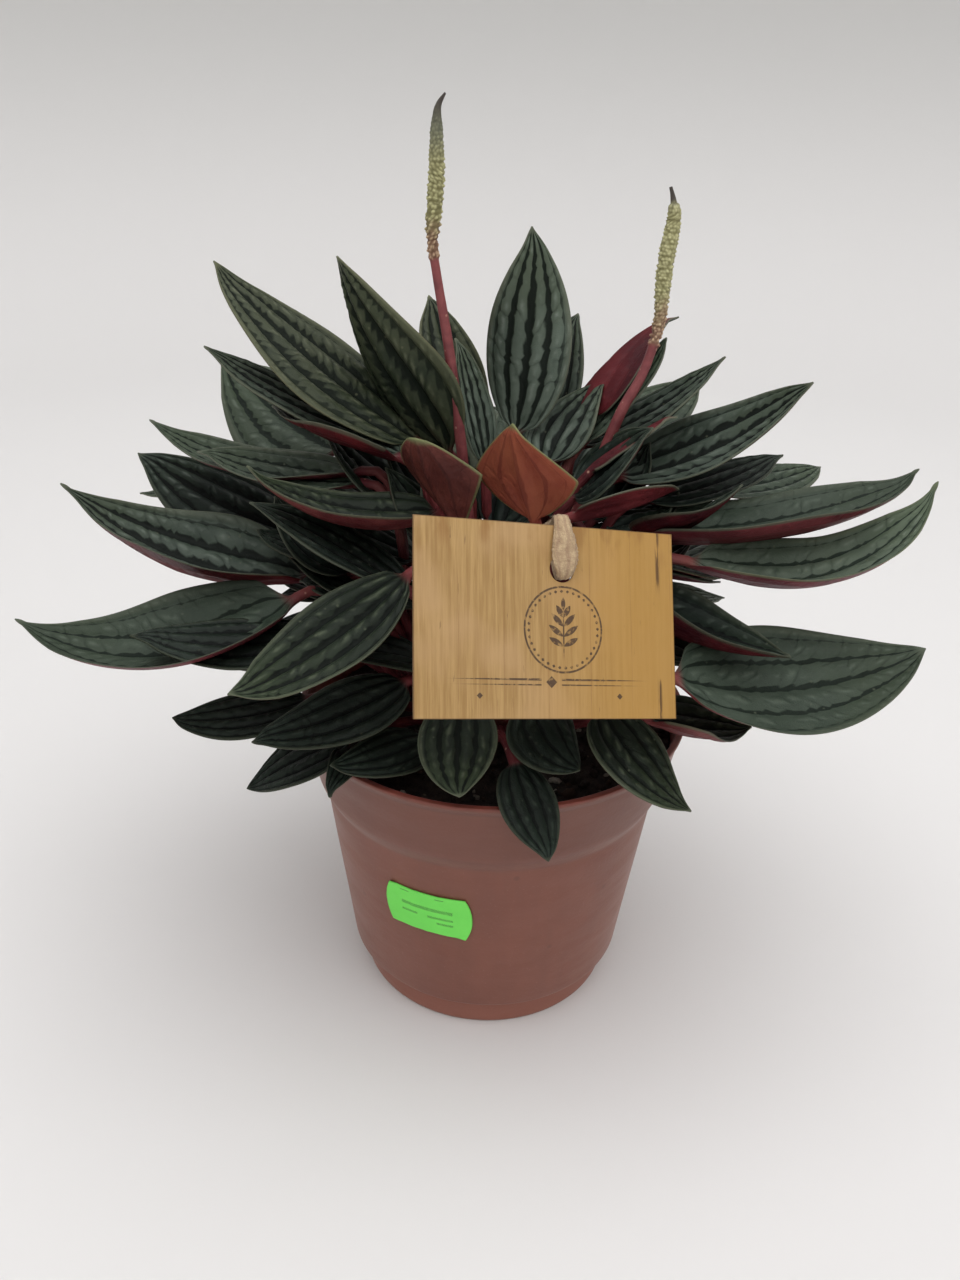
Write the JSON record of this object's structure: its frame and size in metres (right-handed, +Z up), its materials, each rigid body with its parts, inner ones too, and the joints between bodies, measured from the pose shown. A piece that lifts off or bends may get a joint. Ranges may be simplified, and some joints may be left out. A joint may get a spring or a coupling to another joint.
{
  "type": "ripple peperomia in a nursery pot",
  "caption": "Rosette of ripple-leaved, red-backed leaves on long petioles with slender flower spikes, in a round nursery pot with a hanging name card.",
  "frame": {"origin": "centre of the pot's flat underside, on the surface it stands on", "axes": "+Z up along the pot's axis, -Y towards the front with the name card and the price label, +X to the right seen from the front"},
  "size_m": [0.2615, 0.1942, 0.2651],
  "materials": {
    "pot_plastic": "matte terracotta-brown moulded plastic",
    "soil": "damp peat potting soil with pale grains",
    "stem": "fleshy red stem",
    "leaf": "satin dark green rippled upper side, wine-red underside",
    "spike": "beaded yellow-green spadix on a red stalk",
    "card": "card with a printed wood grain",
    "tie_fibre": "twisted pale fibre ribbon",
    "label_paper": "fluorescent green paper label"
  },
  "bodies": {
    "root": {"pot": "pot_plastic", "soil": "soil", "crown": "stem", "leaf_young_centre": "leaf", "leaf_young_left": "leaf", "leaf_top_back": "leaf", "leaf_small_inner_left": "leaf", "leaf_small_inner_right": "leaf", "leaf_upper_left": "leaf", "leaf_upper_left_inner": "leaf", "leaf_behind_left_spike": "leaf", "leaf_behind_top": "leaf", "leaf_red_back_right": "leaf", "leaf_upper_right": "leaf", "leaf_big_right": "leaf", "leaf_red_edged": "leaf", "leaf_red_tongue": "leaf", "leaf_olive_left": "leaf", "leaf_red_left": "leaf", "leaf_left_high": "leaf", "leaf_back_left_broad": "leaf", "leaf_left_folded": "leaf", "leaf_dark_left": "leaf", "leaf_long_left": "leaf", "leaf_shaded_left": "leaf", "leaf_upturned_right": "leaf", "leaf_long_right": "leaf", "leaf_red_right": "leaf", "leaf_dark_right": "leaf", "leaf_pale_right": "leaf", "leaf_behind_right": "leaf", "leaf_back_middle_right": "leaf", "leaf_back_middle": "leaf", "leaf_back_middle_left": "leaf", "leaf_front_left": "leaf", "leaf_low_left_inner": "leaf", "leaf_low_left": "leaf", "leaf_back_left_low": "leaf", "leaf_rim_left_outer": "leaf", "leaf_rim_left": "leaf", "leaf_rim_left_lower": "leaf", "leaf_rim_front_left": "leaf", "leaf_rim_small": "leaf", "leaf_rim_front": "leaf", "leaf_over_rim": "leaf", "leaf_rim_front_right": "leaf", "leaf_rim_right": "leaf", "leaf_low_right": "leaf", "leaf_broad_right": "leaf", "leaf_right_folded": "leaf", "leaf_small_dark": "leaf", "leaf_pale_small": "leaf", "leaf_back_low_right": "leaf", "leaf_back_low": "leaf", "leaf_back_low_left": "leaf", "flower_spike_left": "spike", "flower_spike_right": "spike", "name_card": "card", "tie": "tie_fibre", "price_label": "label_paper"}
  },
  "joints": []
}
